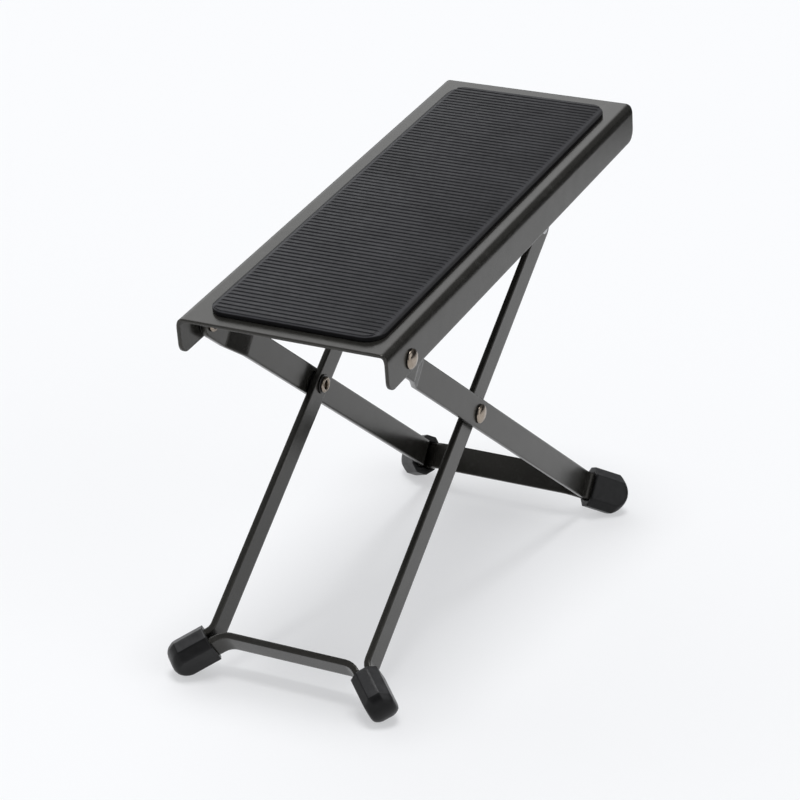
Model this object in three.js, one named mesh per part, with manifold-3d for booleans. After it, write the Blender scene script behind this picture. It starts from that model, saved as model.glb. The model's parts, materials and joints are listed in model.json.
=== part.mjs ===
// Folding guitar footrest: a ribbed footplate on two crossed U-shaped legs of flat bar.
// Millimetres, +Z up, +X to the right, +Y from the low end of the plate to its high end.
// Origin on the floor, at the bottom centre of the object's box. Shown at its highest setting.
import * as THREE from 'three';
import { mergeVertices } from 'three/addons/utils/BufferGeometryUtils.js';
import Module from 'manifold-3d';

const wasm = await Module();
wasm.setup();

// Clearances
const gap = 0.3; // between pieces that touch or pass through each other
const overrun = 5; // how far a cutting body runs past what it cuts

// Footplate: a channel bent from sheet
const plateWidth = 100;
const plateLength = 266;
const plateSheet = 1.5;
const plateBendRadius = 3; // outer, for most of the bend
const plateEaseRadius = 9; // outer, where the bend runs out into the flange
const plateEaseTurn = 18 * THREE.MathUtils.DEG2RAD; // the part of the bend that this takes
const flangeDepth = 18;
const flangeCornerRadius = 5.5;
const platePivotInset = 21; // from the low end to the leg pivot
const platePivotDepth = 12; // below the top face

// Ribbed rubber mat
const matWidth = 82;
const matLength = 247.5;
const matThickness = 2.6;
const matCornerRadius = 9;
const matEdgeRadius = 0.5;
const matBorder = 0.6; // smooth strip between the ribs and the edge
const matShoulder = 3.8; // width over which the long sides taper down to the edge
const matShoulderDrop = 1.3;
const matLowMargin = 7.5; // plate left bare at the low end
const matShift = 1.2; // the mat is glued a little to the right
const ribPitch = 3.05;
const ribLand = 1.75; // flat top of a rib
const ribDepth = 0.55;

// Scissor: lengths from the scissor pivot
const scissorHeight = 101; // above the floor, at the highest setting
const rearPivotReach = 102; // to the plate pivot
const frontRodReach = 100; // to the cross rod

// Rear leg: a U of thin flat bar, outside the front leg
const rearBarWidth = 13;
const rearBarThickness = 2.3;
const rearNeckWidth = 84.6; // over the arms, just below the joggle
const rearBaseWidth = 90; // over the arms, at the corners
const rearBarReach = 149.1; // to the middle of the cross bar
const rearMouthOut = 4.2; // from the corner to the foot cap's mouth, along the diagonal
const rearMouthLean = 2.7; // the diagonal passes this far below the corner
const joggleStart = 16; // along the arm from the plate pivot
const joggleLength = 13.5;
const joggleRadius = 6;

// Front leg: a U of thicker and narrower flat bar
const frontBarWidth = 12;
const frontBarThickness = 2.8;
const frontWidth = 79; // over the arms
const frontBarReach = 131.65;
const frontMouthOut = 2.5;
const frontMouthLean = 1.6;

// Corners of both legs: the bar loops out diagonally into a nub
const nubGap = 2.6; // between the nub's two sides
const nubLength = 15; // inside the foot cap
const armBendRadius = 6;
const crossBendRadius = 9;

// Rubber foot caps, pushed onto the nubs
const capWidth = 12.7; // across the nub, in the plane of the leg
const capDepth = 20; // across the bar
const capLength = 20.3;
const capBevel = 3.8;
const capArcTurn = 126 * THREE.MathUtils.DEG2RAD; // of the arc that rounds the end
const capEndRound = 2.4; // how far the end draws back at the sides
const floorFlat = 0.45; // how much the floor flattens a cap

// Rivets and washers
const rivetRadius = 2.4;
const rivetWall = 0.5; // of the tubular tail
const rivetHeadRadius = 4.45;
const rivetHeadHeight = 1.95;
const rivetHeadRim = 0.25;
const rivetTailRadius = 3.8;
const rivetTailHeight = 1;
const rivetBoreDepth = 2.4;
const plateWasherThickness = 1;
const scissorWasherThickness = 0.5;
const washerRadius = 5.4;
const tailWasherRadius = 4.6;

// Cross rod between the front leg's arms
const rodRadius = 2.5;
const rodTenonRadius = 1.8;
const rodHeadRadius = 2.9;
const rodHeadHeight = 0.7;

// Toothed racks under the plate
const rodDepth = 28.1; // of the rod below the plate's top face, just clear of the teeth
const seatDrop = 2 * THREE.MathUtils.DEG2RAD; // the plate's turn from there into the first notch
const notchCount = 5;
const notchPitch = 7.5;
const rackSlope = 7.5 * THREE.MathUtils.DEG2RAD; // the row of notches climbs towards the high end
const rackSheet = 2.5;
const rackBendRadius = 4; // outer
const rackSpacing = 59; // over the two racks
const rackFlange = 15; // welded width against the plate
const rackEndWall = 1.6; // past the last notch
const rackLead = 10; // before the first notch
const toothLand = 0.9;

// Materials
const paint = { color: 0x3a3b3c, roughness: 0.48, metalness: 0.35 };
const rubber = { color: 0x17181a, roughness: 0.62, metalness: 0 };
const capRubber = { color: 0x1d1e20, roughness: 0.5, metalness: 0 };
const nickel = { color: 0x9a8f84, roughness: 0.32, metalness: 0.95 };
const zinc = { color: 0x8d8f92, roughness: 0.4, metalness: 0.9 };
const darkSteel = { color: 0x2c2b2a, roughness: 0.4, metalness: 0.8 };
const nylon = { color: 0x2a2b2d, roughness: 0.45, metalness: 0 };

// Finer steps of round shapes
const bendStep = Math.PI / 12;
const turnSegments = 28;

// Booleans

function solid(geometry) {
  const bare = geometry.index ? geometry.toNonIndexed() : geometry.clone();
  bare.deleteAttribute('normal');
  bare.deleteAttribute('uv');
  const merged = mergeVertices(bare, 1e-5);
  return new wasm.Manifold(new wasm.Mesh({
    numProp: 3,
    vertProperties: new Float32Array(merged.attributes.position.array),
    triVerts: new Uint32Array(merged.index.array),
  }));
}

function geometryOf(body) {
  const mesh = body.getMesh();
  const geometry = new THREE.BufferGeometry();
  geometry.setAttribute('position', new THREE.BufferAttribute(mesh.vertProperties, mesh.numProp));
  geometry.setIndex(new THREE.BufferAttribute(mesh.triVerts, 1));
  return geometry;
}

function piece(name, geometry, finish) {
  const mesh = new THREE.Mesh(geometry, new THREE.MeshStandardMaterial(finish));
  mesh.name = name;
  return mesh;
}

// Outlines

// A path of straight runs and round bends, as points with the direction of travel.
// Each corner is { x, y, r }, and the two ends have no radius.
function bentPath(corners) {
  const at = corners.map((c) => new THREE.Vector2(c.x, c.y));
  const path = [];
  const heading = (i) => at[i + 1].clone().sub(at[i]).normalize();
  path.push({ point: at[0], along: heading(0) });
  for (let i = 1; i < at.length - 1; i++) {
    const into = heading(i - 1);
    const out = heading(i);
    const turn = Math.atan2(into.cross(out), into.dot(out));
    const radius = corners[i].r;
    const start = at[i].clone().addScaledVector(into, -radius * Math.tan(Math.abs(turn) / 2));
    const inward = new THREE.Vector2(-into.y, into.x).multiplyScalar(Math.sign(turn));
    const centre = start.clone().addScaledVector(inward, radius);
    const steps = Math.max(2, Math.ceil(Math.abs(turn) / bendStep));
    for (let k = 0; k <= steps; k++) {
      const angle = (turn * k) / steps;
      const point = start.clone().rotateAround(centre, angle);
      const along = into.clone().rotateAround(new THREE.Vector2(), angle);
      path.push({ point, along });
    }
  }
  path.push({ point: at[at.length - 1], along: heading(at.length - 2) });
  return path;
}

// The outline of a strip of one thickness along a bent path.
function stripShape(path, thickness) {
  const side = (sign) => path.map(({ point, along }) => {
    const offset = (sign * thickness) / 2;
    return new THREE.Vector2(point.x - along.y * offset, point.y + along.x * offset);
  });
  const outline = [...side(1), ...side(-1).reverse()];
  const tiny = thickness * 1e-4;
  const clean = outline.filter((p, i) => p.distanceTo(outline[(i + 1) % outline.length]) > tiny);
  return new THREE.Shape(clean);
}

// A shape pushed along +Z, with its middle at z = 0.
function slab(shape, depth) {
  const geometry = new THREE.ExtrudeGeometry(shape, { depth, bevelEnabled: false, curveSegments: 8 });
  return geometry.translate(0, 0, -depth / 2);
}

// A shape drawn in the Y-Z plane and pushed across X, with its middle at x = 0.
function crossSlab(shape, depth) {
  const geometry = slab(shape, depth);
  const toSide = new THREE.Matrix4().makeBasis(
    new THREE.Vector3(0, 1, 0),
    new THREE.Vector3(0, 0, 1),
    new THREE.Vector3(1, 0, 0),
  );
  return geometry.applyMatrix4(toSide);
}

function roundedRectangle(width, length, radius) {
  const x = width / 2;
  const y = length / 2;
  const shape = new THREE.Shape();
  shape.absarc(x - radius, y - radius, radius, 0, Math.PI / 2);
  shape.absarc(-x + radius, y - radius, radius, Math.PI / 2, Math.PI);
  shape.absarc(-x + radius, -y + radius, radius, Math.PI, Math.PI * 1.5);
  shape.absarc(x - radius, -y + radius, radius, Math.PI * 1.5, Math.PI * 2);
  return shape;
}

// Lathe work, on an axis along +X: profile points are (radius, x)
function turned(profile) {
  const points = profile.map(([radius, x]) => new THREE.Vector2(radius, x));
  return new THREE.LatheGeometry(points, turnSegments).rotateZ(-Math.PI / 2);
}

function crossHole(radius, y, z, reach) {
  const half = reach / 2 + overrun;
  return solid(turned([[0, -half], [radius, -half], [radius, half], [0, half]]).translate(0, y, z));
}

// A ring between two places on the axis.
function ring(bore, outer, start, end) {
  return turned([[bore, start], [outer, start], [outer, end], [bore, end], [bore, start]]);
}

// A rivet with a domed head, and a tubular tail that is rolled over.
function rivet(tailFace, headFace) {
  const bore = rivetRadius - rivetWall;
  const tailEnd = tailFace - rivetTailHeight;
  const profile = [[0, tailEnd + rivetBoreDepth], [bore, tailEnd + rivetBoreDepth]];
  const rollSteps = 6;
  const rollMiddle = (bore + rivetTailRadius) / 2;
  for (let i = 0; i <= rollSteps; i++) {
    const angle = Math.PI * (i / rollSteps);
    const radius = rollMiddle - (rollMiddle - bore) * Math.cos(angle);
    profile.push([radius, tailFace - rivetTailHeight * (1 + 3 * Math.sin(angle)) / 4]);
  }
  profile.push(
    [rivetTailRadius, tailFace],
    [rivetRadius, tailFace],
    [rivetRadius, headFace],
    [rivetHeadRadius, headFace],
    [rivetHeadRadius, headFace + rivetHeadRim],
  );
  const domeSteps = 6;
  for (let i = 1; i <= domeSteps; i++) {
    const angle = (Math.PI / 2) * (i / domeSteps);
    const rise = (rivetHeadHeight - rivetHeadRim) * Math.sin(angle);
    const radius = i === domeSteps ? 0 : rivetHeadRadius * Math.cos(angle);
    profile.push([radius, headFace + rivetHeadRim + rise]);
  }
  return turned(profile);
}

// Across the object, from the middle outwards, at the plate pivots
const flangeInner = plateWidth / 2 - plateSheet;
const plateWasherOuter = flangeInner - gap;
const neckOuter = plateWasherOuter - plateWasherThickness - gap; // the rear arm, above the joggle
const neckInner = neckOuter - rearBarThickness;

// Across the object at the scissor pivots: the rear arms splay from the joggle to the corners
const joggleEnd = -rearPivotReach + joggleStart + joggleLength;
const splay = (rearBaseWidth - rearNeckWidth) / 2 / (rearBarReach - joggleEnd);
const rearOuterAt = (reach) => rearNeckWidth / 2 + splay * (reach - joggleEnd);
const rearOuter = rearOuterAt(0);
const rearInner = rearOuter - rearBarThickness;
const frontOuter = frontWidth / 2;
const frontInner = frontOuter - frontBarThickness;

// The two legs: a U of flat bar that lies in the X-Y plane of its own frame.
// The frame's origin is the scissor pivot, and the foot lies `reach` away from it, towards `towards`.

const rearLeg = {
  towards: 1,
  barWidth: rearBarWidth,
  thickness: rearBarThickness,
  barReach: rearBarReach,
  mouthOut: rearMouthOut,
  mouthLean: rearMouthLean,
  cornerX: rearBaseWidth / 2 - rearBarThickness / 2,
  topReach: rearPivotReach,
};

const frontLeg = {
  towards: -1,
  barWidth: frontBarWidth,
  thickness: frontBarThickness,
  barReach: frontBarReach,
  mouthOut: frontMouthOut,
  mouthLean: frontMouthLean,
  cornerX: frontOuter - frontBarThickness / 2,
  topReach: frontRodReach,
};

// The foot's diagonal runs from the corner, out and away from the pivot, half-way between the bars.
function footAxis(leg) {
  const out = new THREE.Vector2(Math.SQRT1_2, Math.SQRT1_2);
  const side = new THREE.Vector2(Math.SQRT1_2, -Math.SQRT1_2);
  const corner = new THREE.Vector2(leg.cornerX, leg.barReach);
  const mouth = corner.addScaledVector(out, leg.mouthOut).addScaledVector(side, -leg.mouthLean);
  return { out, side, mouth };
}

// Half of the U, from the top of the right arm to the middle of the cross bar, as (x, reach).
function halfLeg(leg, top) {
  const { out, side, mouth } = footAxis(leg);
  const half = (nubGap + leg.thickness) / 2;
  const end = nubLength - leg.thickness / 2;
  const nub = (along, across) => mouth.clone().addScaledVector(out, along).addScaledVector(side, across);
  const outer = nub(0, half);
  const inner = nub(0, -half);
  const armRun = leg.cornerX - outer.x;
  const barRun = leg.barReach - inner.y;
  const outerEnd = nub(end, half);
  const innerEnd = nub(end, -half);
  return [
    ...top,
    { x: outer.x + armRun, y: outer.y + armRun, r: armBendRadius },
    { x: outerEnd.x, y: outerEnd.y, r: half },
    { x: innerEnd.x, y: innerEnd.y, r: half },
    { x: inner.x + barRun, y: inner.y + barRun, r: crossBendRadius },
  ];
}

function legBody(leg, top) {
  const right = halfLeg(leg, top);
  const left = right.map(({ x, y, r }) => ({ x: -x, y, r })).reverse();
  const corners = [...right, ...left].map(({ x, y, r }) => ({ x, y: y * leg.towards, r }));
  return solid(slab(stripShape(bentPath(corners), leg.thickness), leg.barWidth));
}

// The side view of a leg: round ends at the top, open at the foot.
function legSideShape(leg) {
  const radius = leg.barWidth / 2;
  const foot = (leg.barReach + nubLength + leg.barWidth) * leg.towards;
  const top = -leg.topReach * leg.towards;
  const shape = new THREE.Shape();
  shape.absarc(top, 0, radius, Math.PI / 2, Math.PI * 1.5, leg.towards < 0);
  shape.lineTo(foot, -radius);
  shape.lineTo(foot, radius);
  return shape;
}

function makeLeg(leg, top, holes) {
  let body = legBody(leg, top).intersect(solid(crossSlab(legSideShape(leg), plateWidth * 2)));
  for (const [radius, y] of holes) {
    body = body.subtract(crossHole(radius, y, 0, plateWidth));
  }
  return geometryOf(body);
}

function rearLegFrame() {
  const neckX = neckOuter - rearBarThickness / 2;
  const startReach = -rearPivotReach + joggleStart;
  const top = [
    { x: neckX, y: -rearPivotReach - rearBarWidth / 2 },
    { x: neckX, y: startReach, r: joggleRadius },
    { x: (rearNeckWidth - rearBarThickness) / 2, y: joggleEnd, r: joggleRadius },
  ];
  const holes = [[rivetRadius + gap, -rearPivotReach], [rivetRadius + gap, 0]];
  return makeLeg(rearLeg, top, holes);
}

function frontLegFrame() {
  const top = [{ x: frontLeg.cornerX, y: -frontRodReach - frontBarWidth / 2 }];
  const holes = [[rodTenonRadius + gap, frontRodReach], [rivetRadius + gap, 0]];
  return makeLeg(frontLeg, top, holes);
}

// Foot caps

// A cap's outline at `x` across its width, drawn in by `inset` at the sides and by `back` at the
// far end, which is an arc. In the cap's own frame the axis is +Y from the mouth at zero, and Z
// runs across the depth.
function capRing(x, inset, back) {
  const half = capDepth / 2 - inset;
  const radius = half / Math.sin(capArcTurn / 2);
  const centre = capLength - back - radius;
  const points = [];
  const steps = 12;
  for (let i = 0; i <= steps; i++) {
    const angle = capArcTurn * (1 / 2 - i / steps);
    points.push([x, centre + radius * Math.cos(angle), radius * Math.sin(angle)]);
  }
  points.push([x, 0, -half], [x, 0, half]);
  return points;
}

// A closed body through rings of the same count. Each ring runs clockwise as seen from the last.
function loft(rings) {
  const count = rings[0].length;
  const positions = rings.flat(2);
  const index = [];
  for (let k = 0; k < rings.length - 1; k++) {
    for (let i = 0; i < count; i++) {
      const a = k * count + i;
      const b = k * count + ((i + 1) % count);
      index.push(a, a + count, b, b, a + count, b + count);
    }
  }
  const last = (rings.length - 1) * count;
  for (let i = 1; i < count - 1; i++) {
    index.push(0, i, i + 1, last, last + i + 1, last + i);
  }
  const geometry = new THREE.BufferGeometry();
  geometry.setAttribute('position', new THREE.Float32BufferAttribute(positions, 3));
  geometry.setIndex(index);
  return geometry;
}

// A cap without its hollow: the outline across its width, with flat bevels along the sides and a
// rounded edge at the end.
function capOutside() {
  const flat = capWidth / 2 - capBevel;
  const rings = [];
  for (const side of [-1, 1]) {
    const shares = [0, 0.4, 0.7, 0.9, 1];
    const half = shares.map((share) => {
      const back = capEndRound * (1 - Math.sqrt(1 - share * share));
      return capRing(side * (flat + capBevel * share), capBevel * share, back);
    });
    rings.push(...(side < 0 ? half.reverse() : half));
  }
  return solid(loft(rings));
}

// From the cap's own frame into the leg's frame, on the side given.
function capPlacing(leg, side) {
  const { out, side: across, mouth } = footAxis(leg);
  const x = new THREE.Vector3(across.x * side, across.y * leg.towards, 0);
  const y = new THREE.Vector3(out.x * side, out.y * leg.towards, 0);
  const z = x.clone().cross(y);
  const placing = new THREE.Matrix4().makeBasis(x, y, z);
  return placing.setPosition(mouth.x * side, mouth.y * leg.towards, 0);
}

function footCap(leg, side, legPlacing) {
  const hollowX = nubGap + leg.thickness * 2 + gap * 2;
  const hollowZ = leg.barWidth + gap * 2;
  const hollow = new THREE.ExtrudeGeometry(roundedRectangle(hollowX, (nubLength + gap) * 2, hollowX / 2), {
    depth: hollowZ,
    bevelEnabled: false,
    curveSegments: 6,
  }).translate(0, 0, -hollowZ / 2);
  const body = capOutside().subtract(solid(hollow));
  const placed = geometryOf(body).applyMatrix4(capPlacing(leg, side));
  const size = plateLength;
  const floor = new THREE.BoxGeometry(size * 2, size * 2, size).translate(0, 0, -size / 2);
  floor.applyMatrix4(legPlacing.clone().invert());
  return geometryOf(solid(placed).subtract(solid(floor)));
}

// The slope at which a leg's caps just press `floorFlat` into the floor: each point of a cap
// would get there at its own slope, and the first to do so decides.
function legSlope(leg) {
  const drop = scissorHeight + floorFlat;
  const points = capOutside().getMesh();
  const placing = capPlacing(leg, 1);
  const point = new THREE.Vector3();
  let slope = Math.PI / 2;
  for (let i = 0; i < points.vertProperties.length; i += points.numProp) {
    point.fromArray(points.vertProperties, i).applyMatrix4(placing);
    const reach = point.y * leg.towards;
    const own = Math.asin(drop / Math.hypot(reach, point.z)) - Math.atan2(-point.z, reach);
    slope = Math.min(slope, own);
  }
  return slope;
}

// Footplate

// The bend on one side, as corners of the sheet's middle line: most of it at the bend radius,
// and the rest at a wider one that runs out into the flange.
function plateBend(side, edge, high) {
  const bend = plateBendRadius - plateSheet / 2;
  const ease = plateEaseRadius - plateSheet / 2;
  const bendRun = bend * Math.tan(Math.PI / 4 - plateEaseTurn / 2);
  const easeRun = ease * Math.tan(plateEaseTurn / 2);
  const inset = (bendRun + easeRun) * Math.sin(plateEaseTurn);
  const fall = (bendRun + easeRun) * Math.cos(plateEaseTurn);
  return [
    { x: (edge - inset) * side, y: high, r: bend },
    { x: edge * side, y: high - fall, r: ease },
  ];
}

function topPlate() {
  const edge = plateWidth / 2 - plateSheet / 2;
  const low = platePivotDepth - flangeDepth;
  const high = platePivotDepth - plateSheet / 2;
  const corners = [
    { x: -edge, y: low },
    ...plateBend(-1, edge, high).reverse(),
    ...plateBend(1, edge, high),
    { x: edge, y: low },
  ];
  const channel = slab(stripShape(bentPath(corners), plateSheet), plateLength);
  channel.rotateX(Math.PI / 2).translate(0, plateLength / 2 - platePivotInset, 0);
  const side = new THREE.Shape();
  const front = -platePivotInset;
  const back = plateLength - platePivotInset;
  const r = flangeCornerRadius;
  side.absarc(front + r, low + r, r, Math.PI, Math.PI * 1.5);
  side.absarc(back - r, low + r, r, Math.PI * 1.5, Math.PI * 2);
  side.lineTo(back, platePivotDepth + overrun);
  side.lineTo(front, platePivotDepth + overrun);
  const body = solid(channel)
    .intersect(solid(crossSlab(side, plateWidth * 2)))
    .subtract(crossHole(rivetRadius + gap, 0, 0, plateWidth));
  return geometryOf(body);
}

// The mat's outline, drawn in by `inset`, as a block of the height given.
function matBlock(inset, height, ease) {
  const width = matWidth - (inset + ease) * 2;
  const length = matLength - (inset + ease) * 2;
  const outline = roundedRectangle(width, length, matCornerRadius - inset - ease);
  return solid(new THREE.ExtrudeGeometry(outline, {
    depth: height,
    bevelEnabled: ease > 0,
    bevelSize: ease,
    bevelThickness: ease,
    bevelSegments: 2,
    curveSegments: 7,
  }).translate(0, matLength / 2, -ease));
}

// The ribs from the side, on a bed of `bed`, with grooves that widen towards the top.
function ribShape(bed) {
  const profile = new THREE.Shape();
  const count = Math.floor(matLength / ribPitch);
  const lead = (matLength - count * ribPitch) / 2;
  const groove = ribPitch - ribLand;
  profile.moveTo(0, 0);
  profile.lineTo(0, bed);
  for (let i = 0; i < count; i++) {
    const start = lead + i * ribPitch;
    profile.lineTo(start + groove / 4, bed);
    profile.lineTo(start + groove / 2, matThickness);
    profile.lineTo(start + groove / 2 + ribLand, matThickness);
    profile.lineTo(start + groove * 0.75 + ribLand, bed);
  }
  profile.lineTo(matLength, bed);
  profile.lineTo(matLength, 0);
  return profile;
}

// The mat seen from its low end, with a roof whose two slopes cut the shoulders.
function shoulderShape() {
  const slope = matShoulderDrop / matShoulder;
  const out = matWidth / 2 + overrun;
  const edge = matThickness - slope * (matShoulder + overrun);
  const inner = matWidth / 2 - matShoulder - overrun;
  const roof = matThickness + slope * overrun;
  const shape = new THREE.Shape();
  shape.moveTo(-out, edge - overrun);
  shape.lineTo(out, edge - overrun);
  shape.lineTo(out, edge);
  shape.lineTo(inner, roof);
  shape.lineTo(-inner, roof);
  shape.lineTo(-out, edge);
  return shape;
}

function rubberMat() {
  const bed = matThickness - ribDepth;
  const ribs = matBlock(matBorder, matThickness, 0);
  const profile = solid(crossSlab(ribShape(bed), matWidth + overrun));
  const base = matBlock(0, bed, matEdgeRadius).trimByPlane([0, 0, 1], 0);
  const shoulders = slab(shoulderShape(), matLength + overrun).rotateX(Math.PI / 2);
  shoulders.translate(0, matLength / 2, 0);
  const mat = base.add(ribs.intersect(profile)).intersect(solid(shoulders));
  const y = matLowMargin - platePivotInset;
  return geometryOf(mat).translate(matShift, y, platePivotDepth + gap);
}

// Racks

// The first notch's seat in the plate's frame: the rod at rest, turned back by the seat drop.
function rackSeat(rod) {
  return rod.clone().rotateAround(new THREE.Vector2(), seatDrop);
}

function rackSideShape(rod) {
  const seat = rackSeat(rod);
  const radius = rodRadius + gap;
  const reach = seat.distanceTo(rod) - radius;
  const along = new THREE.Vector2(Math.cos(rackSlope), Math.sin(rackSlope));
  const down = new THREE.Vector2(along.y, -along.x);
  const place = (i, a, d) => seat.clone().addScaledVector(along, i * notchPitch + a).addScaledVector(down, d);
  const points = [place(0, -rackLead, reach), place(0, -notchPitch + radius + toothLand, reach)];
  const arcSteps = 8;
  for (let i = 0; i < notchCount; i++) {
    for (let k = 0; k <= arcSteps; k++) {
      const angle = Math.PI - (Math.PI * k) / arcSteps;
      points.push(place(i, radius * Math.cos(angle), -radius * Math.sin(angle)));
    }
    const land = i === notchCount - 1 ? rackEndWall : toothLand;
    points.push(place(i, radius, reach), place(i, radius + land, reach));
  }
  const top = platePivotDepth - plateSheet - gap;
  const first = points[0].clone().setY(top);
  const last = points[points.length - 1].clone().setY(top);
  return new THREE.Shape([first, ...points, last]);
}

function rack(side, rod) {
  const top = platePivotDepth - plateSheet - gap - rackSheet / 2;
  const wall = (rackSpacing - rackSheet) / 2;
  const low = rod.y - overrun;
  const corners = [
    { x: (wall + rackSheet / 2 - rackFlange) * side, y: top },
    { x: wall * side, y: top, r: rackBendRadius - rackSheet / 2 },
    { x: wall * side, y: low },
  ];
  const angle = slab(stripShape(bentPath(corners), rackSheet), plateLength);
  angle.rotateX(Math.PI / 2).translate(0, rod.x, 0);
  const body = solid(angle).intersect(solid(crossSlab(rackSideShape(rod), plateWidth)));
  return geometryOf(body);
}

// Cross rod: shouldered ends pass through the arms and are peened over
function crossRod() {
  const shoulder = frontInner - gap;
  const face = frontOuter + gap;
  const end = face + rodHeadHeight;
  const rim = end - rodHeadHeight / 2;
  const half = [
    [rodRadius, shoulder],
    [rodTenonRadius, shoulder],
    [rodTenonRadius, face],
    [rodHeadRadius, face],
    [rodHeadRadius, rim],
    [rodHeadRadius * 0.7, end],
    [0, end],
  ];
  const mirrored = half.map(([radius, x]) => [radius, -x]).reverse();
  return turned([...mirrored, ...half]);
}

// The pose at the highest setting

const rearSlope = legSlope(rearLeg);
const frontSlope = legSlope(frontLeg);
const scissor = new THREE.Vector2(0, scissorHeight);
const rearAlong = new THREE.Vector2(Math.cos(rearSlope), -Math.sin(rearSlope));
const frontAlong = new THREE.Vector2(-Math.cos(frontSlope), -Math.sin(frontSlope));
const platePivot = scissor.clone().addScaledVector(rearAlong, -rearPivotReach);
const rodCentre = scissor.clone().addScaledVector(frontAlong, -frontRodReach);
const pivotToRod = rodCentre.clone().sub(platePivot);
const rodBelow = Math.asin((rodDepth - platePivotDepth) / pivotToRod.length());
const plateTilt = pivotToRod.angle() + rodBelow;
const rodInPlate = pivotToRod.clone().rotateAround(new THREE.Vector2(), -plateTilt);

function placedGroup(turn, y, z) {
  const group = new THREE.Group();
  group.rotation.x = turn;
  group.position.set(0, y, z);
  group.updateMatrix();
  return group;
}

const rearGroup = placedGroup(-rearSlope, scissor.x, scissor.y);
const frontGroup = placedGroup(frontSlope, scissor.x, scissor.y);
const plateGroup = placedGroup(plateTilt, platePivot.x, platePivot.y);

rearGroup.add(piece('rear_leg_frame', rearLegFrame(), paint));
frontGroup.add(piece('front_leg_frame', frontLegFrame(), paint));
plateGroup.add(piece('top_plate', topPlate(), paint));
plateGroup.add(piece('rubber_mat', rubberMat(), rubber));

const rod = piece('cross_rod', crossRod(), zinc);
rod.position.y = frontRodReach;
frontGroup.add(rod);

for (const [label, side] of [['right', 1], ['left', -1]]) {
  plateGroup.add(piece(`rack_${label}`, rack(side, rodInPlate), paint));
  rearGroup.add(piece(`rear_foot_cap_${label}`, footCap(rearLeg, side, rearGroup.matrix), capRubber));
  frontGroup.add(piece(`front_foot_cap_${label}`, footCap(frontLeg, side, frontGroup.matrix), capRubber));

  const turn = side > 0 ? 0 : Math.PI;
  const plateTail = neckInner - gap;
  const plateRivet = piece(`plate_rivet_${label}`,
    rivet(plateTail, plateWidth / 2 + gap), nickel);
  const plateWasher = piece(`plate_washer_${label}`,
    ring(rivetRadius + gap, washerRadius, plateWasherOuter - plateWasherThickness, plateWasherOuter), nylon);
  for (const mesh of [plateRivet, plateWasher]) {
    mesh.rotation.z = turn;
    plateGroup.add(mesh);
  }

  const spacerOuter = rearInner - gap;
  const tailWasherOuter = frontInner - gap;
  const scissorTail = tailWasherOuter - scissorWasherThickness - gap;
  const scissorRivet = piece(`scissor_rivet_${label}`,
    rivet(scissorTail, rearOuter + gap), nickel);
  const spacer = piece(`scissor_spacer_${label}`,
    ring(rivetRadius + gap, washerRadius, frontOuter + gap, spacerOuter), nylon);
  const tailWasher = piece(`scissor_washer_${label}`,
    ring(rivetRadius + gap, tailWasherRadius, tailWasherOuter - scissorWasherThickness, tailWasherOuter),
    darkSteel);
  for (const mesh of [scissorRivet, spacer, tailWasher]) {
    mesh.rotation.z = turn;
    rearGroup.add(mesh);
  }
}

const footrest = new THREE.Group();
footrest.add(rearGroup, frontGroup, plateGroup);

const box = new THREE.Box3().setFromObject(footrest, true);
footrest.position.y = -(box.min.y + box.max.y) / 2;

export default footrest;
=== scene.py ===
# Looks for the folding guitar footrest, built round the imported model. Metres, +Z up.
import json
import math

import bmesh
import bpy
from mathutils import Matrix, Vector


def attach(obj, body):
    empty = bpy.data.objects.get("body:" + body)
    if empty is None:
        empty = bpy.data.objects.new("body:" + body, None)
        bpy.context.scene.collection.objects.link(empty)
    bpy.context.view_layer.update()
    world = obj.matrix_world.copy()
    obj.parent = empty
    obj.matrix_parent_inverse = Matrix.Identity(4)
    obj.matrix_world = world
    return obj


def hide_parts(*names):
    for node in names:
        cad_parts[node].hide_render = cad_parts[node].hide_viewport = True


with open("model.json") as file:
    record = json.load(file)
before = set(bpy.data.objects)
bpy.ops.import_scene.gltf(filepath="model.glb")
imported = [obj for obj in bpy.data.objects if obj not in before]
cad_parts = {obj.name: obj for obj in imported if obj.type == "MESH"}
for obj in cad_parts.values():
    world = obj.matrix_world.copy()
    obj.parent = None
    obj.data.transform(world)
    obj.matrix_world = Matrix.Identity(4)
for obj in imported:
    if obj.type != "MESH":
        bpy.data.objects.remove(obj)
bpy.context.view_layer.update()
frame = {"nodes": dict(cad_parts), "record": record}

BODY_OF = {
    node: body
    for body, nodes in frame["record"]["behaviour"]["bodies"].items()
    for node in nodes
}
SLOT_OF = {s["node"]: s["material_slot"] for s in frame["record"]["subparts"]}


def placed(name, data):
    """A new object with this data, linked into the scene."""
    made = bpy.data.objects.new(name, data)
    bpy.context.scene.collection.objects.link(made)
    return made


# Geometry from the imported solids: cleaned, with eased edges

MERGE = 1e-6
FLAT_ANGLE = math.radians(0.4)
ROUND_PROFILE = 0.5
NORMAL_WEIGHT = 100
MM_PER_METRE = 1000

# What each point of a mesh carries: 1 where an edge was eased, and its depth in mm below the
# ribs' tops
EDGE_LAYER = "edge"
DEPTH_LAYER = "depth"

# The mount on top of a rib gives the place and the direction of the ribs' tops.
FOOT_MOUNT = next(m for m in frame["record"]["mounts"] if m["name"] == "foot_surface")
RIB_TOP = Vector(FOOT_MOUNT["pos_m"])
RIB_UP = Vector(FOOT_MOUNT["axis"]).normalized()

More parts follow.
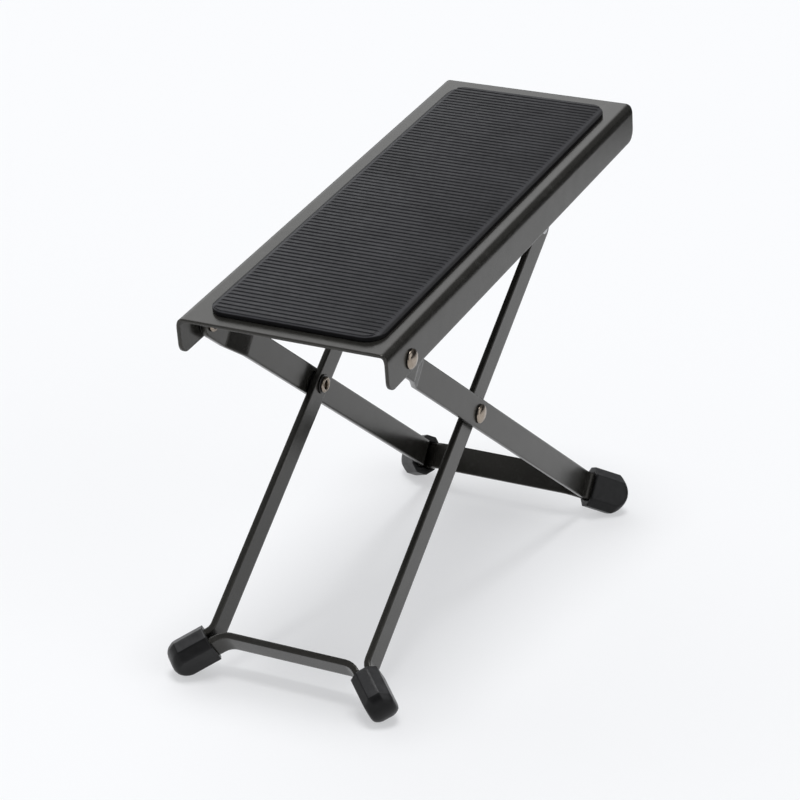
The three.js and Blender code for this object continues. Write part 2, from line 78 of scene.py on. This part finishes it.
# Easing of the edges, by what the node's name holds: metres, the angle in degrees above which
# an edge counts as sharp, and the steps round it
EASE = {
    "top_plate": (0.00035, 30, 3),
    "rack": (0.0003, 30, 2),
    "leg_frame": (0.0004, 30, 3),
    "rubber_mat": (0.00012, 22, 1),
    "foot_cap": (0.0009, 24, 4),
    "rivet": (0.0002, 35, 2),
    "washer": (0.00012, 35, 1),
    "spacer": (0.0001, 35, 1),
    "cross_rod": (0.00025, 35, 2),
}


def sharp_edges(bm, angle):
    return [
        e for e in bm.edges
        if len(e.link_faces) == 2 and e.calc_face_angle(0) > angle
    ]


def eased_mesh(node, ease, sharp, steps):
    """The node's shape with its sharp edges eased by `ease` metres."""
    bm = bmesh.new()
    bm.from_mesh(frame["nodes"][node].data)
    bmesh.ops.remove_doubles(bm, verts=bm.verts, dist=MERGE)
    bmesh.ops.dissolve_limit(
        bm, angle_limit=FLAT_ANGLE, verts=bm.verts, edges=bm.edges
    )
    eased = bm.verts.layers.float.new(EDGE_LAYER)
    made = bmesh.ops.bevel(
        bm, geom=sharp_edges(bm, sharp), offset=ease, offset_type="OFFSET",
        segments=steps, profile=ROUND_PROFILE, affect="EDGES", clamp_overlap=True,
        loop_slide=True, harden_normals=False,
    )
    for face in made["faces"]:
        for v in face.verts:
            v[eased] = 1.0
    for face in bm.faces:
        face.smooth = True
    mesh = bpy.data.meshes.new(node + "_look")
    bm.to_mesh(mesh)
    bm.free()
    depth = mesh.attributes.new(DEPTH_LAYER, "FLOAT", "POINT")
    for v, value in zip(mesh.vertices, depth.data):
        value.value = (RIB_TOP - v.co).dot(RIB_UP) * MM_PER_METRE
    mesh.set_sharp_from_angle(angle=sharp)
    return mesh


# Node materials: one helper that builds them

BEVEL_SAMPLES = 8
NO_STRETCH = (1, 1, 1)

# The colour sockets of a Mix node, by their place in its lists
MIX_A, MIX_B, MIX_RESULT = 6, 7, 2


class Nodes:
    """Builds one node material. The noises are in object space, so their scales are per metre."""

    def __init__(self, name):
        self.material = bpy.data.materials.new(name)
        self.material.use_nodes = True
        self.tree = self.material.node_tree
        self.shader = self.tree.nodes["Principled BSDF"]
        coords = self.add("ShaderNodeTexCoord")
        self.place = coords.outputs["Object"]
        self.normal = coords.outputs["Normal"]

    def add(self, kind, **values):
        node = self.tree.nodes.new(kind)
        for key, value in values.items():
            setattr(node, key, value)
        return node

    def link(self, source, target):
        self.tree.links.new(source, target)

    def set(self, **values):
        """Values for the shader's sockets, with _ for each space in their names."""
        for key, value in values.items():
            self.shader.inputs[key.replace("_", " ")].default_value = value

    def attribute(self, name):
        return self.add("ShaderNodeAttribute", attribute_name=name).outputs["Fac"]

    def upward(self):
        """How far the surface faces up, from -1 to 1."""
        split = self.add("ShaderNodeSeparateXYZ")
        self.link(self.normal, split.inputs["Vector"])
        return split.outputs["Z"]

    def noise(self, scale, detail, rough=0.5, stretch=NO_STRETCH):
        mapping = self.add("ShaderNodeMapping")
        mapping.inputs["Scale"].default_value = stretch
        self.link(self.place, mapping.inputs["Vector"])
        noise = self.add("ShaderNodeTexNoise")
        noise.inputs["Scale"].default_value = scale
        noise.inputs["Detail"].default_value = detail
        noise.inputs["Roughness"].default_value = rough
        self.link(mapping.outputs["Vector"], noise.inputs["Vector"])
        return noise.outputs["Fac"]

    def ramp(self, source, low, high, start=0.3, end=0.7):
        """Goes from low to high while the source goes from start to end."""
        node = self.add("ShaderNodeMapRange")
        node.inputs["From Min"].default_value = start
        node.inputs["From Max"].default_value = end
        node.inputs["To Min"].default_value = low
        node.inputs["To Max"].default_value = high
        self.link(source, node.inputs["Value"])
        return node.outputs["Result"]

    def uneven(self, scale, detail, low, high, start=0.3, end=0.7, **noise):
        """A value that wanders between low and high."""
        return self.ramp(self.noise(scale, detail, **noise), low, high, start, end)

    def mix(self, factor, a, b):
        """Colour a where the factor is 0, colour b where it is 1."""
        node = self.add("ShaderNodeMix", data_type="RGBA")
        self.link(factor, node.inputs["Factor"])
        for value, socket in ((a, node.inputs[MIX_A]), (b, node.inputs[MIX_B])):
            if isinstance(value, tuple):
                socket.default_value = (*value, 1)
            else:
                self.link(value, socket)
        return node.outputs[MIX_RESULT]

    def mottled(self, scale, detail, tones):
        """Soft patches of two tones."""
        return self.mix(self.uneven(scale, detail, 0.0, 1.0), *tones)

    def maths(self, operation, a, b):
        node = self.add("ShaderNodeMath", operation=operation, use_clamp=True)
        for value, socket in ((a, node.inputs[0]), (b, node.inputs[1])):
            if isinstance(value, float):
                socket.default_value = value
            else:
                self.link(value, socket)
        return node.outputs[0]

    def grain(self, scale, detail, height, strength, after=None, **noise):
        """Normals of a grain this many metres high, laid over the normals `after`."""
        node = self.add("ShaderNodeBump")
        node.inputs["Distance"].default_value = height
        node.inputs["Strength"].default_value = strength
        self.link(self.noise(scale, detail, **noise), node.inputs["Height"])
        if after is not None:
            self.link(after, node.inputs["Normal"])
        return node.outputs["Normal"]

    def rounded(self, radius):
        """Normals that run round each edge, as if it had this radius."""
        node = self.add("ShaderNodeBevel", samples=BEVEL_SAMPLES)
        node.inputs["Radius"].default_value = radius
        return node.outputs["Normal"]

    def finish(self, color, roughness=None, normal=None):
        self.link(color, self.shader.inputs["Base Color"])
        if roughness is not None:
            self.link(roughness, self.shader.inputs["Roughness"])
        if normal is not None:
            self.link(normal, self.shader.inputs["Normal"])
        return self.material


# Colours of the pieces. Where there are two, they are the tones of a mottled surface.

PAINT_TONES = ((0.0165, 0.0160, 0.0142), (0.0195, 0.0190, 0.0170))
PAINT_SPECK = (0.045, 0.044, 0.042)
PAINT_RUBBED = (0.05, 0.049, 0.047)
MAT_FRESH_TONES = ((0.0060, 0.0060, 0.0068), (0.0085, 0.0084, 0.0096))
# The ribs' tops: greyed by wear and by a painted sheen
MAT_USED_AND_SHEEN_TONES = ((0.0190, 0.0190, 0.0212), (0.0350, 0.0350, 0.0386))
MAT_SPECK = (0.055, 0.055, 0.060)
# The grooves: dust and a painted fill light against their shade
MAT_DUST_AND_FILL = (0.042, 0.042, 0.047)
CAP_TONES = ((0.0030, 0.0030, 0.0032), (0.0055, 0.0055, 0.0058))
CAP_RUBBED = (0.015, 0.015, 0.016)
# The caps' up-facing sides: a painted highlight
CAP_TOP_HIGHLIGHT = (0.060, 0.060, 0.062)
NICKEL_TONES = ((0.27, 0.225, 0.18), (0.36, 0.31, 0.26))
ZINC_TONES = ((0.42, 0.43, 0.44), (0.55, 0.56, 0.57))
OXIDE_TONES = ((0.016, 0.015, 0.014), (0.028, 0.025, 0.022))
NYLON_TONES = ((0.016, 0.016, 0.017), (0.026, 0.026, 0.027))

# Depths in mm below the ribs' tops: the grooves turn paler over the first pair, dust and a painted
# fill light against their shade, and the rubber turns from used, with a painted sheen, to fresh
# over the second
DUST_AND_FILL_DEPTHS = (0.15, 0.5)
FRESH_DEPTHS = (0.7, 1.0)


def powder_coat():
    """Satin black powder coat: an even tone, fine orange peel, faint dust and rubbed edges."""
    n = Nodes("powder_coat")
    n.set(IOR=1.49, Specular_Tint=(1.0, 0.97, 0.91, 1.0))
    specks = n.uneven(1100, 3, 0.0, 0.25, 0.5, 0.78)
    specked = n.mix(specks, n.mottled(60, 3, PAINT_TONES), PAINT_SPECK)
    rubbed = n.uneven(160, 4, 0.0, 0.4, 0.55, 0.8)
    rubbed = n.maths("MULTIPLY", n.attribute(EDGE_LAYER), rubbed)
    color = n.mix(rubbed, specked, PAINT_RUBBED)
    rough = n.uneven(140, 4, 0.21, 0.26)
    peel = n.grain(1500, 2, 0.00002, 0.18, n.rounded(0.0013))
    return n.finish(color, rough, n.grain(5200, 2, 0.000008, 0.25, peel))


def mat_rubber():
    """Black ribbed rubber: greyed on top by wear and a painted sheen, paler in the grooves by dust
    and a painted fill light, still black at its edges.
    """
    n = Nodes("mat_rubber")
    n.set(IOR=1.28)
    depth = n.attribute(DEPTH_LAYER)
    fresh = n.mix(n.noise(38, 4), *MAT_FRESH_TONES)
    # The ribs' tops: greyed by wear and by a painted sheen
    used_and_sheen = n.mix(n.uneven(38, 6, 0.0, 1.0, 0.35, 0.65, rough=0.65), *MAT_USED_AND_SHEEN_TONES)
    specked = n.mix(n.uneven(700, 3, 0.0, 0.25, 0.5, 0.75), used_and_sheen, MAT_SPECK)
    # The grooves: paler with dust and a painted fill light that lifts their shade
    painted_light = n.ramp(depth, 0.0, 1.0, *DUST_AND_FILL_DEPTHS)
    painted_light = n.maths("MULTIPLY", painted_light, n.uneven(500, 4, 0.6, 1.0))
    dust_and_fill_tone = n.mix(painted_light, specked, MAT_DUST_AND_FILL)
    color = n.mix(n.ramp(depth, 1.0, 0.0, *FRESH_DEPTHS), fresh, dust_and_fill_tone)
    rough = n.uneven(260, 4, 0.50, 0.60)
    return n.finish(color, rough, n.grain(3600, 3, 0.00003, 0.4, n.rounded(0.00015)))


def cap_rubber():
    """Black moulded rubber: slightly uneven, paler where it is rubbed, with a painted highlight
    where it faces up.
    """
    n = Nodes("cap_rubber")
    n.set(IOR=1.30)
    rubbed = n.maths("MULTIPLY", n.attribute(EDGE_LAYER), n.uneven(420, 3, 0.0, 0.35))
    worn = n.mix(rubbed, n.mottled(150, 4, CAP_TONES), CAP_RUBBED)
    # A painted highlight on the sides that face up
    painted_light = n.ramp(n.upward(), 0.0, 1.0, 0.35, 0.85)
    painted_light = n.maths("MULTIPLY", painted_light, n.uneven(240, 4, 0.6, 1.0))
    color = n.mix(painted_light, worn, CAP_TOP_HIGHLIGHT)
    rough = n.uneven(330, 4, 0.30, 0.40)
    fine = n.grain(3000, 3, 0.00003, 0.35, n.rounded(0.0018))
    return n.finish(color, rough, n.grain(160, 2, 0.0003, 0.35, fine))


def nickel():
    """Nickel-plated steel with a warm cast, dulled by handling."""
    n = Nodes("nickel")
    n.set(Metallic=1.0)
    color = n.mottled(420, 3, NICKEL_TONES)
    rough = n.uneven(800, 4, 0.20, 0.30, stretch=(1, 4, 1))
    marks = n.grain(2600, 3, 0.00001, 0.3, n.rounded(0.00025), stretch=(1, 6, 1))
    return n.finish(color, rough, marks)


def zinc():
    """Zinc-plated steel, drawn along its length."""
    n = Nodes("zinc")
    n.set(Metallic=1.0)
    color = n.mottled(300, 4, ZINC_TONES)
    rough = n.uneven(900, 4, 0.28, 0.45, stretch=(0.1, 1, 1))
    return n.finish(color, rough, n.grain(3000, 3, 0.00002, 0.5, stretch=(0.05, 1, 1)))


def thin_ring(name, ior, tones, least_rough, most_rough, height):
    """A washer or a spacer: soft patches of two dark tones, and a faint grain."""
    n = Nodes(name)
    n.set(IOR=ior)
    color = n.mottled(500, 3, tones)
    rough = n.uneven(700, 3, least_rough, most_rough)
    return n.finish(color, rough, n.grain(4000, 2, height, 0.4))


MATERIALS = {
    "black_paint": powder_coat(),
    "mat_rubber": mat_rubber(),
    "cap_rubber": cap_rubber(),
    "nickel_steel": nickel(),
    "zinc_steel": zinc(),
    "black_steel": thin_ring("black_steel", 1.6, OXIDE_TONES, 0.30, 0.42, 0.00001),
    "nylon": thin_ring("nylon", 1.53, NYLON_TONES, 0.38, 0.52, 0.00002),
}

# The pieces that are seen, one in the place of each node


def dress(node):
    ease, sharp, steps = next(value for key, value in EASE.items() if key in node)
    piece = placed(node + "_look", eased_mesh(node, ease, math.radians(sharp), steps))
    weighted = piece.modifiers.new("weighted", "WEIGHTED_NORMAL")
    weighted.keep_sharp = True
    weighted.weight = NORMAL_WEIGHT
    piece.data.materials.append(MATERIALS[SLOT_OF[node]])
    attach(piece, BODY_OF[node])
    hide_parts(node)


for node_name in sorted(frame["nodes"]):
    dress(node_name)

# Studio: the floor, and the flag, a black card behind the object

FLOOR_HALF = 12.0
FLOOR_TONES = ((0.922, 0.930, 0.944), (0.926, 0.934, 0.948))
FLOOR_WHITE = (0.958, 0.964, 0.980)
WHITE_SHARE = 0.5
FLAG_TONES = ((0.008, 0.008, 0.008), (0.014, 0.014, 0.014))
FLAG_AWAY = Vector((0.55, 0.83, 0)).normalized()
FLAG_ALONG = Vector((0.83, -0.55, 0)).normalized()
FLAG_DISTANCE = 0.78
FLAG_WIDTH = 2.2
FLAG_HEIGHT = 0.3


def make_sheet(name, corners, material):
    """A flat sheet with four corners, placed in the scene."""
    mesh = bpy.data.meshes.new(name)
    mesh.from_pydata(corners, [], [(0, 1, 2, 3)])
    mesh.materials.append(material)
    sheet = placed(name, mesh)
    return sheet


def floor_material():
    """A pale matt sheet. WHITE_SHARE of what the camera, metal and glass see is plain white."""
    n = Nodes("studio_floor")
    n.set(Roughness=0.85, IOR=1.3, Specular_IOR_Level=0.0)
    n.finish(n.mottled(3, 2, FLOOR_TONES))
    path = n.add("ShaderNodeLightPath")
    seen = n.maths("ADD", path.outputs["Is Camera Ray"], path.outputs["Is Glossy Ray"])
    seen = n.maths("ADD", seen, path.outputs["Is Transmission Ray"])
    white = n.add("ShaderNodeEmission")
    white.inputs["Color"].default_value = (*FLOOR_WHITE, 1)
    white.inputs["Strength"].default_value = 1.0
    blend = n.add("ShaderNodeMixShader")
    n.link(n.maths("MULTIPLY", seen, WHITE_SHARE), blend.inputs["Fac"])
    n.link(n.shader.outputs["BSDF"], blend.inputs[1])
    n.link(white.outputs["Emission"], blend.inputs[2])
    n.link(blend.outputs["Shader"], n.tree.nodes["Material Output"].inputs["Surface"])
    return n.material


def make_floor():
    h = FLOOR_HALF
    make_sheet("floor", [(-h, -h, 0), (h, -h, 0), (h, h, 0), (-h, h, 0)], floor_material())


def flag_material():
    n = Nodes("black_card")
    n.set(Roughness=0.9)
    return n.finish(n.mix(n.noise(40, 3), *FLAG_TONES))


def make_flag():
    """Only reflections see it. It darkens the plate's right fold."""
    middle = FLAG_AWAY * FLAG_DISTANCE
    half = FLAG_ALONG * FLAG_WIDTH / 2
    top = Vector((0, 0, FLAG_HEIGHT))
    corners = [middle - half, middle + half, middle + half + top, middle - half + top]
    flag = make_sheet("flag", [tuple(c) for c in corners], flag_material())
    flag.visible_camera = False
    flag.visible_shadow = False
    flag.visible_diffuse = False


make_floor()
make_flag()

# Light: a soft lamp straight above, and soft patches in a dim world

LAMP_STRENGTH = 1.8
LAMP_ANGLE = math.radians(28)
WORLD_TINT = (0.985, 0.995, 1.01)

# Each patch: the direction of its middle, the cosine from that direction at its rim, the cosine
# where it is full, and its strength outside the rim and where it is full
PATCH_BEHIND = ((-0.50, 0.67, 0.58), 0.84, 0.98, 0.0, 1.30)
PATCH_LEFT = ((-0.92, 0.20, 0.36), 0.78, 0.98, 0.0, 0.8)
PATCH_RIGHT = ((0.93, -0.15, 0.32), 0.78, 0.98, 0.0, 1.2)
PATCH_FRONT = ((-0.40, -0.80, 0.40), 0.60, 0.97, 0.0, 0.25)
PATCH_ABOVE = ((0, 0, 1), -0.1, 0.9, 0.08, 0.18)


def make_world():
    world = bpy.data.worlds.new("studio")
    bpy.context.scene.world = world
    world.use_nodes = True
    tree = world.node_tree
    background = tree.nodes["Background"]
    coords = tree.nodes.new("ShaderNodeTexCoord")

    def patch(direction, rim, full, low, high):
        dot = tree.nodes.new("ShaderNodeVectorMath")
        dot.operation = "DOT_PRODUCT"
        dot.inputs[1].default_value = Vector(direction).normalized()
        tree.links.new(coords.outputs["Generated"], dot.inputs[0])
        ranged = tree.nodes.new("ShaderNodeMapRange")
        ranged.interpolation_type = "SMOOTHSTEP"
        ranged.inputs["From Min"].default_value = rim
        ranged.inputs["From Max"].default_value = full
        ranged.inputs["To Min"].default_value = low
        ranged.inputs["To Max"].default_value = high
        tree.links.new(dot.outputs["Value"], ranged.inputs["Value"])
        return ranged.outputs["Result"]

    def add(a, b):
        node = tree.nodes.new("ShaderNodeMath")
        node.operation = "ADD"
        tree.links.new(a, node.inputs[0])
        tree.links.new(b, node.inputs[1])
        return node.outputs[0]

    around = add(
        add(patch(*PATCH_BEHIND), patch(*PATCH_LEFT)),
        add(patch(*PATCH_RIGHT), patch(*PATCH_FRONT)),
    )
    total = add(around, patch(*PATCH_ABOVE))
    tint = tree.nodes.new("ShaderNodeMix")
    tint.data_type = "RGBA"
    tint.blend_type = "MULTIPLY"
    tint.inputs["Factor"].default_value = 1
    tint.inputs[MIX_B].default_value = (*WORLD_TINT, 1)
    tree.links.new(total, tint.inputs[MIX_A])
    tree.links.new(tint.outputs[MIX_RESULT], background.inputs["Color"])
    background.inputs["Strength"].default_value = 1.0


def point(thing, direction):
    """Turns a lamp or a camera to face along the direction."""
    thing.rotation_mode = "QUATERNION"
    thing.rotation_quaternion = direction.to_track_quat("-Z", "Y")


def make_lamp():
    data = bpy.data.lights.new("key", "SUN")
    data.energy = LAMP_STRENGTH
    data.angle = LAMP_ANGLE
    point(placed("key", data), Vector((0, 0, -1)))


make_world()
make_lamp()

# Camera, solved from the photograph

CAMERA_AT = Vector((0.5272, -1.0758, 0.5842))
CAMERA_TO = Vector((0.05426, -0.12279, 0.14757))
LENS_MM = 126
SENSOR_MM = 36
CLIP_NEAR = 0.01
CLIP_FAR = 100


def make_camera():
    data = bpy.data.cameras.new("camera")
    data.lens = LENS_MM
    data.sensor_width = SENSOR_MM
    data.clip_start = CLIP_NEAR
    data.clip_end = CLIP_FAR
    camera = placed("camera", data)
    camera.location = CAMERA_AT
    point(camera, CAMERA_TO - CAMERA_AT)
    bpy.context.scene.camera = camera


make_camera()
bpy.context.scene.view_settings.view_transform = "Standard"
